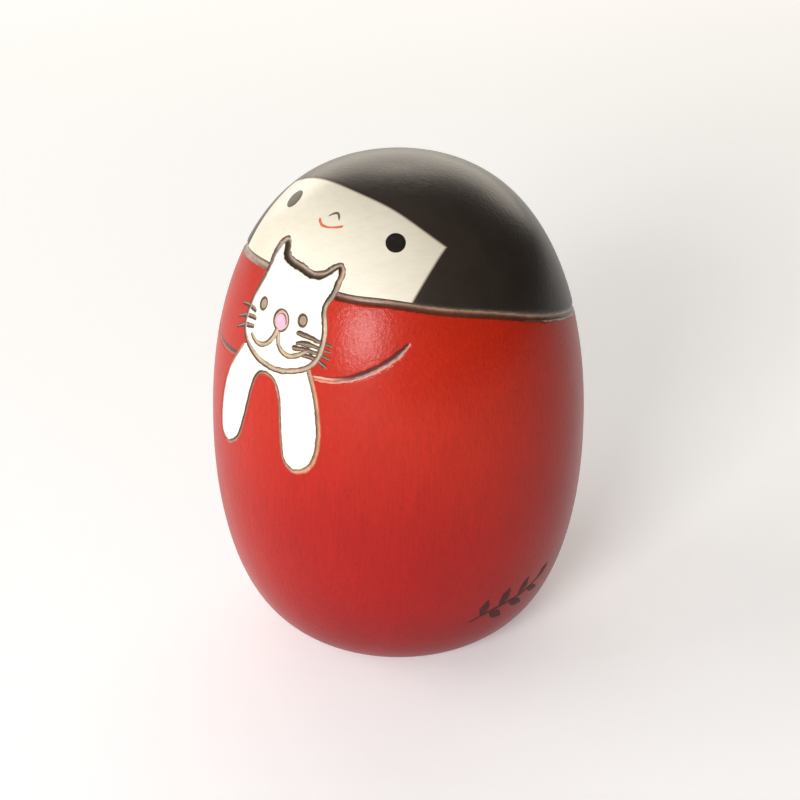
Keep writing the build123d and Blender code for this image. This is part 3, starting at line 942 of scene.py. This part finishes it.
def growth_rings(shader, per_metre, axis, wobble):
    """A log's rings, 0 to 1 across each, where the turning axis lies some way from the log's heart."""
    place = shader.place()
    moved = shader.mapped(place, Location=axis)
    loose = shader.add("TexNoise", {"Vector": place, "Scale": 22.0, "Detail": 2.0})
    push = shader.add("VectorMath", {0: loose.outputs["Color"], "Scale": wobble}, operation="SCALE")
    moved = shader.add("VectorMath", {0: moved, 1: push.outputs[0]}, operation="ADD").outputs[0]
    return shader.maths("FRACT", shader.maths("MULTIPLY", shader.radius(moved), per_metre))


def red_stained_wood():
    shader = Shader("red_stained_wood")
    rings = growth_rings(shader, 330.0, BODY_AXIS_IN_LOG, 0.004)
    fibres = shader.noise((2600, 2600, 190), 4.0, 0.6)
    pores = shader.noise((3600, 3600, 1300), 2.0, 0.5)
    cloud = shader.noise((38, 38, 26), 3.0, 0.55)
    # The stain's tone turns darker and more crimson towards the foot: partly the stain's own colour, partly
    # painted shade on the lower body
    low = shader.maths("MULTIPLY", shader.height(), 1 / (TOTAL_HEIGHT * MM))
    shade = shader.ramp(low, [(0.0, 1.0), (0.3, 0.5), (0.66, 0.0)], ease=True)
    tone = shader.mix(0.4, shade, cloud)
    stops = [(0.16, 0.45, 0.019, 0.006), (0.5, 0.35, 0.009, 0.006), (0.84, 0.22, 0.006, 0.009)]
    colour = shader.ramp(tone, stops)
    colour = shader.shaded(0.5, colour, fibres, [(0.3, 0.78), (0.62, 1.1)])
    colour = shader.shaded(0.2, colour, rings, [(0.0, 0.8), (0.75, 0.9), (0.93, 1.0), (1.0, 0.82)])
    colour = shader.shaded(0.4, colour, pores, [(0.28, 0.5), (0.42, 1.0)])
    colour = shader.mix(shader.attribute("bare"), colour, bare_foot(shader, fibres))
    peel = shader.noise((1700, 1700, 1300), 3.0, 0.65)
    grain_bump = shader.bump(fibres, 0.00003, 0.5)
    peel_bump = shader.bump(peel, 0.00007, 0.8, after=grain_bump)
    rough = shader.ramp(cloud, [(0.3, 0.34), (0.7, 0.44)])
    return shader.finish(Base_Color=colour, Roughness=rough, Normal=peel_bump, Coat_Weight=0.18,
                         Coat_Roughness=0.13, Coat_Normal=peel_bump, Specular_IOR_Level=0.11)


def bare_foot(shader, fibres):
    """Unstained turned wood with tool rings, for the underside of the foot."""
    tool = shader.maths("SINE", shader.maths("MULTIPLY", shader.radius(shader.place()), TOOL_RINGS))
    rings = growth_rings(shader, 420.0, BODY_AXIS_IN_LOG, 0.003)
    colour = shader.ramp(rings, [(0.0, 0.66, 0.47, 0.29), (0.7, 0.72, 0.55, 0.36),
                                 (0.95, 0.5, 0.32, 0.18), (1.0, 0.64, 0.46, 0.28)])
    colour = shader.shaded(0.15, colour, tool, [(0.0, 0.6), (1.0, 1.0)])
    return shader.shaded(0.3, colour, fibres, [(0.3, 0.6), (0.65, 1.1)])


def pale_wood():
    shader = Shader("pale_wood")
    rings = growth_rings(shader, 420.0, HEAD_AXIS_IN_LOG, 0.003)
    fibres = shader.noise((500, 500, 2800), 4.0, 0.6)
    cloud = shader.noise((60, 60, 45), 3.0, 0.5)
    colour = shader.ramp(cloud, [(0.3, 0.71, 0.64, 0.495), (0.7, 0.74, 0.685, 0.57)])
    colour = shader.shaded(0.35, colour, rings, [(0.0, 0.97), (0.7, 1.0), (0.94, 0.93), (1.0, 0.97)])
    colour = shader.shaded(0.16, colour, fibres, [(0.35, 0.8), (0.6, 1.05)])
    near_hair = shader.ramp(shader.attribute("hair_gap"), [(0.0, 1.0), (0.14, 0.6), (0.32, 0.0)])
    colour = shader.mix(near_hair, colour, (0.12, 0.06, 0.03))
    peel = shader.bump(shader.noise((1300, 1300, 1300), 2.0), 0.00002, 0.5)
    return shader.finish(Base_Color=colour, Roughness=0.35, Normal=peel, Specular_IOR_Level=0.25,
                         Coat_Weight=0.25, Coat_Roughness=0.15)


def hair_lacquer():
    shader = Shader("hair_lacquer")
    fibres = shader.noise((1900, 1900, 160), 3.0, 0.6)
    cloud = shader.noise((70, 70, 70), 4.0, 0.6)
    colour = shader.ramp(cloud, [(0.3, 0.022, 0.0165, 0.013), (0.75, 0.036, 0.0265, 0.0205)])
    # lighter flecks round a place near the crown
    from_crown = shader.length(shader.mapped(shader.place(), Location=(-0.004, 0.003, -TOTAL_HEIGHT * MM)))
    near = shader.maths("MULTIPLY", from_crown, 100.0)
    patch = shader.ramp(near, [(0.0, 1.0), (0.3, 0.8), (0.9, 0.0)], ease=True)
    flecks = shader.ramp(shader.noise((420, 420, 420), 5.0, 0.7), [(0.46, 0.0), (0.62, 1.0)])
    crown_fleck_share = shader.maths("MULTIPLY", patch, flecks)
    colour = shader.mix(shader.maths("MULTIPLY", crown_fleck_share, 0.7), colour, (0.06, 0.042, 0.030))
    bump = shader.bump(fibres, 0.00002, 0.5)
    bump = shader.bump(shader.noise((1800, 1800, 1200), 3.0, 0.6), 0.00007, 0.7, after=bump)
    return shader.finish(Base_Color=colour, Roughness=0.34, Normal=bump, Specular_IOR_Level=0.16,
                         Coat_Weight=0.08, Coat_Roughness=0.18)


def white_lacquer():
    shader = Shader("white_lacquer")
    cloud = shader.noise((90, 90, 90), 3.0, 0.5)
    colour = shader.ramp(cloud, [(0.3, 0.70, 0.695, 0.67), (0.7, 0.73, 0.725, 0.705)])
    rim = shader.ramp(shader.attribute("line_gap"), [(0.0, 1.0), (0.25, 0.25), (0.6, 0.0)])
    colour = shader.mix(rim, colour, (0.72, 0.60, 0.42))
    bump = shader.bump(shader.noise((700, 700, 500), 3.0, 0.6), 0.00003, 0.5)
    return shader.finish(Base_Color=colour, Roughness=0.3, Normal=bump,
                         Coat_Weight=0.3, Coat_Roughness=0.15)


def scorch_with_painted_light(name, stops, second=None):
    """The burnt cut of a line, by colours across it: the burnt and bare wood's own colours, with painted
    shade on the groove's walls and painted highlights along its lips and middle.

    A line's colours run from the left of its direction (0) to the right (1), the neck line's from below
    to above and an oval's from its centre to its rim. second is for where a line looks different.
    """
    shader = Shader(name)
    across = shader.maths("ADD", shader.maths("MULTIPLY", shader.attribute("across"), 0.5), 0.5)
    wander = shader.maths("SUBTRACT", shader.noise((1100, 1100, 1100), 3.0, 0.6), 0.5)
    across = shader.maths("ADD", across, shader.maths("MULTIPLY", wander, 0.22))
    colour = shader.ramp(across, stops)
    if second:
        colour = shader.mix(shader.attribute("second"), colour, shader.ramp(across, second))
    burn = shader.noise((380, 380, 380), 4.0, 0.65)
    colour = shader.shaded(0.55, colour, burn, [(0.34, 0.5), (0.6, 1.12)])
    fibres = shader.noise((2600, 2600, 400), 3.0, 0.6)
    colour = shader.shaded(0.3, colour, fibres, [(0.35, 0.6), (0.6, 1.15)])
    bump = shader.bump(fibres, 0.00005, 0.5)
    return shader.finish(Base_Color=colour, Roughness=0.4, Normal=bump, Specular_IOR_Level=0.3,
                         Coat_Weight=0.2, Coat_Roughness=0.15)


def brush_paint(name, colour, roughness=0.3):
    """Thin brushed paint, uneven in tone."""
    shader = Shader(name)
    uneven = shader.noise((700, 700, 700), 4.0, 0.65)
    lighter = tuple(min(1.0, c * 1.5 + 0.004) for c in colour)
    tone = shader.ramp(uneven, [(0.35, *colour), (0.75, *lighter)])
    bump = shader.bump(uneven, 0.00003, 0.5)
    return shader.finish(Base_Color=tone, Roughness=roughness, Normal=bump, Specular_IOR_Level=0.15,
                         Coat_Weight=0.05, Coat_Roughness=0.12)


def dowel_wood():
    shader = Shader("dowel_wood")
    fibres = shader.noise((2500, 2500, 200), 4.0, 0.6)
    colour = shader.ramp(fibres, [(0.3, 0.48, 0.31, 0.17), (0.7, 0.68, 0.5, 0.31)])
    return shader.finish(Base_Color=colour, Roughness=0.6, Normal=shader.bump(fibres, 0.0001, 0.5))


# -------- the pieces

def piece_attributes(name):
    """What a piece's material needs to know at each point of the surface."""
    attributes = {}
    field = {**AREAS, **MARKS}.get(name)
    if name == "head_block":
        attributes["hair_gap"] = np.clip(-fields["panel"], 0, FAR)
    elif name in ("cat_head_white", "cat_legs_white"):
        attributes["line_gap"] = np.clip(nearest_line(fields), 0, FAR)
    elif field in ENGRAVED:
        attributes["across"] = sides[field] if field in sides else 2 * fields[field] + 1
    if name in SECOND_LOOK:
        attributes["second"] = sides[SECOND_LOOK[name][0]]
    return attributes


# Colours across each engraved line, as the line's material takes them: burnt and bare wood with painted
# shade and painted highlights
SCORCH_AND_PAINTED_LIGHT = {
    "neck_line": [
        (0.0, 0.20, 0.025, 0.013), (0.2, 0.13, 0.03, 0.016), (0.42, 0.11, 0.038, 0.018),
        (0.6, 0.20, 0.10, 0.055), (0.74, 0.32, 0.20, 0.13), (0.86, 0.11, 0.06, 0.035),
        (1.0, 0.035, 0.02, 0.012)],
    "cat_head_outline": [
        (0.0, 0.06, 0.038, 0.025), (0.1, 0.10, 0.065, 0.042), (0.24, 0.34, 0.23, 0.15),
        (0.5, 0.50, 0.36, 0.24), (0.72, 0.44, 0.29, 0.20), (0.87, 0.12, 0.065, 0.04),
        (1.0, 0.07, 0.03, 0.02)],
    "cat_legs_outline": [
        (0.0, 0.07, 0.035, 0.022), (0.3, 0.09, 0.045, 0.028), (0.5, 0.26, 0.13, 0.08),
        (0.7, 0.42, 0.17, 0.10), (0.88, 0.34, 0.05, 0.025), (1.0, 0.32, 0.03, 0.018)],
    "cat_mouth": [
        (0.0, 0.06, 0.038, 0.025), (0.1, 0.11, 0.07, 0.045), (0.3, 0.42, 0.30, 0.18),
        (0.66, 0.50, 0.37, 0.24), (0.85, 0.14, 0.09, 0.06), (1.0, 0.05, 0.03, 0.02)],
    "cat_nose_ring": [
        (0.52, 0.08, 0.035, 0.028), (0.6, 0.20, 0.10, 0.08), (0.68, 0.60, 0.38, 0.32),
        (0.78, 0.50, 0.31, 0.25), (0.87, 0.07, 0.04, 0.028), (1.0, 0.05, 0.03, 0.02)],
    "cat_right_eye": [
        (0.0, 0.44, 0.31, 0.22), (0.3, 0.26, 0.17, 0.11), (0.55, 0.36, 0.25, 0.16),
        (0.66, 0.10, 0.05, 0.03), (1.0, 0.05, 0.025, 0.015)],
    "doll_left_arm": [
        (0.0, 0.16, 0.012, 0.008), (0.15, 0.10, 0.012, 0.009), (0.42, 0.10, 0.016, 0.011),
        (0.62, 0.18, 0.045, 0.03), (0.74, 0.56, 0.24, 0.19), (0.85, 0.80, 0.38, 0.31),
        (0.94, 0.56, 0.16, 0.12), (1.0, 0.40, 0.03, 0.015)],
    "doll_right_arm": [
        (0.0, 0.20, 0.015, 0.010), (0.2, 0.07, 0.014, 0.010), (0.5, 0.06, 0.014, 0.010),
        (0.7, 0.16, 0.05, 0.035), (0.85, 0.46, 0.18, 0.14), (1.0, 0.40, 0.03, 0.015)],
    "cat_left_whiskers": [
        (0.0, 0.03, 0.018, 0.012), (0.3, 0.05, 0.03, 0.02), (0.5, 0.16, 0.10, 0.065),
        (0.66, 0.36, 0.24, 0.16), (0.8, 0.14, 0.08, 0.05), (1.0, 0.04, 0.022, 0.015)],
}

# Lines that look different along their way: where, and the colours there, which likewise hold painted shade
# and painted highlights
SECOND_LOOK = {
    "doll_left_arm": ("arm_root", [
        (0.0, 0.22, 0.02, 0.01), (0.16, 0.20, 0.03, 0.018), (0.34, 0.72, 0.36, 0.26),
        (0.5, 0.64, 0.30, 0.21), (0.66, 0.30, 0.09, 0.06), (0.8, 0.66, 0.26, 0.18),
        (0.9, 0.80, 0.34, 0.25), (1.0, 0.45, 0.05, 0.02)]),
    "neck_line": ("right_neck", [
        (0.0, 0.20, 0.035, 0.02), (0.16, 0.14, 0.055, 0.035), (0.34, 0.30, 0.21, 0.14),
        (0.6, 0.38, 0.28, 0.19), (0.8, 0.15, 0.10, 0.065), (1.0, 0.06, 0.04, 0.027)]),
    "cat_head_outline": ("ears", [
        (0.0, 0.04, 0.027, 0.018), (0.3, 0.06, 0.04, 0.027), (0.5, 0.10, 0.068, 0.045),
        (0.62, 0.26, 0.18, 0.13), (0.74, 0.40, 0.29, 0.22), (0.86, 0.16, 0.09, 0.06),
        (1.0, 0.06, 0.03, 0.02)]),
    "cat_legs_outline": ("outer_leg", [
        (0.0, 0.14, 0.075, 0.05), (0.15, 0.14, 0.075, 0.05), (0.3, 0.34, 0.19, 0.11),
        (0.48, 0.50, 0.25, 0.13), (0.7, 0.60, 0.24, 0.12), (0.88, 0.40, 0.075, 0.035),
        (1.0, 0.36, 0.05, 0.025)]),
}

# Every coat's material and slot
LOOKS = {}
# Each engraved line's material holds the burnt wood's colours together with painted shade and painted
# highlights across its groove
for name, stops in SCORCH_AND_PAINTED_LIGHT.items():
    second = SECOND_LOOK[name][1] if name in SECOND_LOOK else None
    LOOKS[name] = scorch_with_painted_light("scorched_" + name, stops, second), "scorched_wood"
LOOKS["cat_left_eye"] = LOOKS["cat_right_eye"]
LOOKS["cat_right_whiskers"] = LOOKS["cat_left_whiskers"]

white = white_lacquer()
LOOKS.update({
    "hair_lacquer": (hair_lacquer(), "hair_lacquer"),
    "cat_head_white": (white, "white_lacquer"),
    "cat_legs_white": (white, "white_lacquer"),
    "cat_nose_pad": (brush_paint("pink_paint", (0.66, 0.28, 0.36)), "pink_paint"),
    "doll_right_eye": (brush_paint("worn_black_paint", (0.10, 0.085, 0.062), 0.45), "black_paint"),
    "doll_left_eye": (brush_paint("black_paint", (0.012, 0.009, 0.008)), "black_paint"),
    "doll_nose": (brush_paint("grey_paint", (0.10, 0.08, 0.065), 0.5), "grey_paint"),
    "doll_mouth": (brush_paint("vermilion_paint", (0.52, 0.12, 0.06), 0.4), "vermilion_paint"),
})
block_piece("body_block", lower, -1, red_stained_wood())
block_piece("head_block", ~lower, 1, pale_wood())
for name, (material, slot) in LOOKS.items():
    mine = triangles[region == name]
    coat_piece(name, mine, (surface, normals, facing), piece_attributes(name), material)
leaf_sprig(brush_paint("brown_paint", (0.055, 0.010, 0.008), 0.6))

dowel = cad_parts["neck_dowel"].data
dowel.materials.clear()
dowel.materials.append(dowel_wood())


# -------- floor, light and camera

DOLL_MIDDLE = Vector((0, 0, TOTAL_HEIGHT / 2 * MM))


def direction(azimuth, elevation):
    """The way out from the doll at an azimuth, 0 at its front and growing towards its left, in degrees."""
    a, e = math.radians(azimuth), math.radians(elevation)
    return Vector((math.sin(a) * math.cos(e), -math.cos(a) * math.cos(e), math.sin(e)))


def aim(thing, azimuth, elevation, distance):
    """Sets a lamp or the camera in a direction from the doll's middle, looking back at it."""
    out = direction(azimuth, elevation)
    thing.location = DOLL_MIDDLE + out * distance
    thing.rotation_mode = "QUATERNION"
    thing.rotation_quaternion = (-out).to_track_quat("-Z", "Y")


def pale_floor():
    """A wide pale sheet, just under the foot."""
    mesh = bpy.data.meshes.new("floor")
    bm = bmesh.new()
    bmesh.ops.create_grid(bm, x_segments=8, y_segments=8, size=FLOOR_SIZE / 2)
    bm.to_mesh(mesh)
    bm.free()
    floor = add_object("floor", mesh)
    floor.location.z = -FLOOR_DROP
    shader = Shader("floor_paper")
    grain = shader.noise((300, 300, 300), 3.0)
    tone = shader.ramp(grain, [(0.3, 0.90), (0.7, 0.92)])
    material = shader.finish(Base_Color=tone, Roughness=0.9, Specular_IOR_Level=0.1,
                             Emission_Color=(1, 1, 1, 1), Emission_Strength=FLOOR_GLOW)
    floor.data.materials.append(material)


def soft_box(name, azimuth, elevation, distance, size, power, colour):
    """A rectangular lamp that looks at the doll's middle."""
    lamp = bpy.data.lights.new(name, "AREA")
    lamp.shape = "RECTANGLE"
    lamp.size, lamp.size_y = size
    lamp.energy = power
    lamp.color = colour
    light = add_object(name, lamp)
    aim(light, azimuth, elevation, distance)
    light.visible_camera = False


def studio_world():
    """Pale walls under a dimmer ceiling, brightest at one azimuth and dark opposite it."""
    world = bpy.data.worlds.new("studio")
    world.use_nodes = True
    tree = world.node_tree
    back = tree.nodes["Background"]
    place = tree.nodes.new("ShaderNodeTexCoord")
    parts = tree.nodes.new("ShaderNodeSeparateXYZ")
    shade = tree.nodes.new("ShaderNodeValToRGB")
    tree.links.new(place.outputs["Generated"], parts.inputs[0])
    tree.links.new(parts.outputs["Z"], shade.inputs["Fac"])
    tree.links.new(shade.outputs["Color"], back.inputs["Color"])
    levels = (WALL_TOP, WALL_COLOUR), (CEILING_FROM, CEILING_COLOUR)
    for element, (elevation, colour) in zip(shade.color_ramp.elements, levels):
        element.position = math.sin(math.radians(elevation))
        element.color = (*colour, 1)
    toward = tree.nodes.new("ShaderNodeVectorMath")
    toward.operation = "DOT_PRODUCT"
    toward.inputs[1].default_value = direction(BRIGHT_WALL_AZIMUTH, 0)
    tree.links.new(place.outputs["Generated"], toward.inputs[0])
    side = tree.nodes.new("ShaderNodeMapRange")
    side.inputs["From Min"].default_value = -1.0
    tree.links.new(toward.outputs["Value"], side.inputs["Value"])
    tree.links.new(side.outputs["Result"], back.inputs["Strength"])
    return world


pale_floor()

scene = bpy.context.scene
scene.view_settings.view_transform = "Standard"
scene.world = studio_world()

for name, settings in LAMPS.items():
    soft_box(name, *settings)

camera = add_object("camera", bpy.data.cameras.new("camera"))
aim(camera, CAMERA_AZIMUTH, CAMERA_ELEVATION, CAMERA_DISTANCE)
camera.data.lens = CAMERA_LENS
camera.data.sensor_width = CAMERA_SENSOR
camera.data.shift_x, camera.data.shift_y = CAMERA_SHIFT
camera.data.clip_start, camera.data.clip_end = CAMERA_CLIP
scene.camera = camera
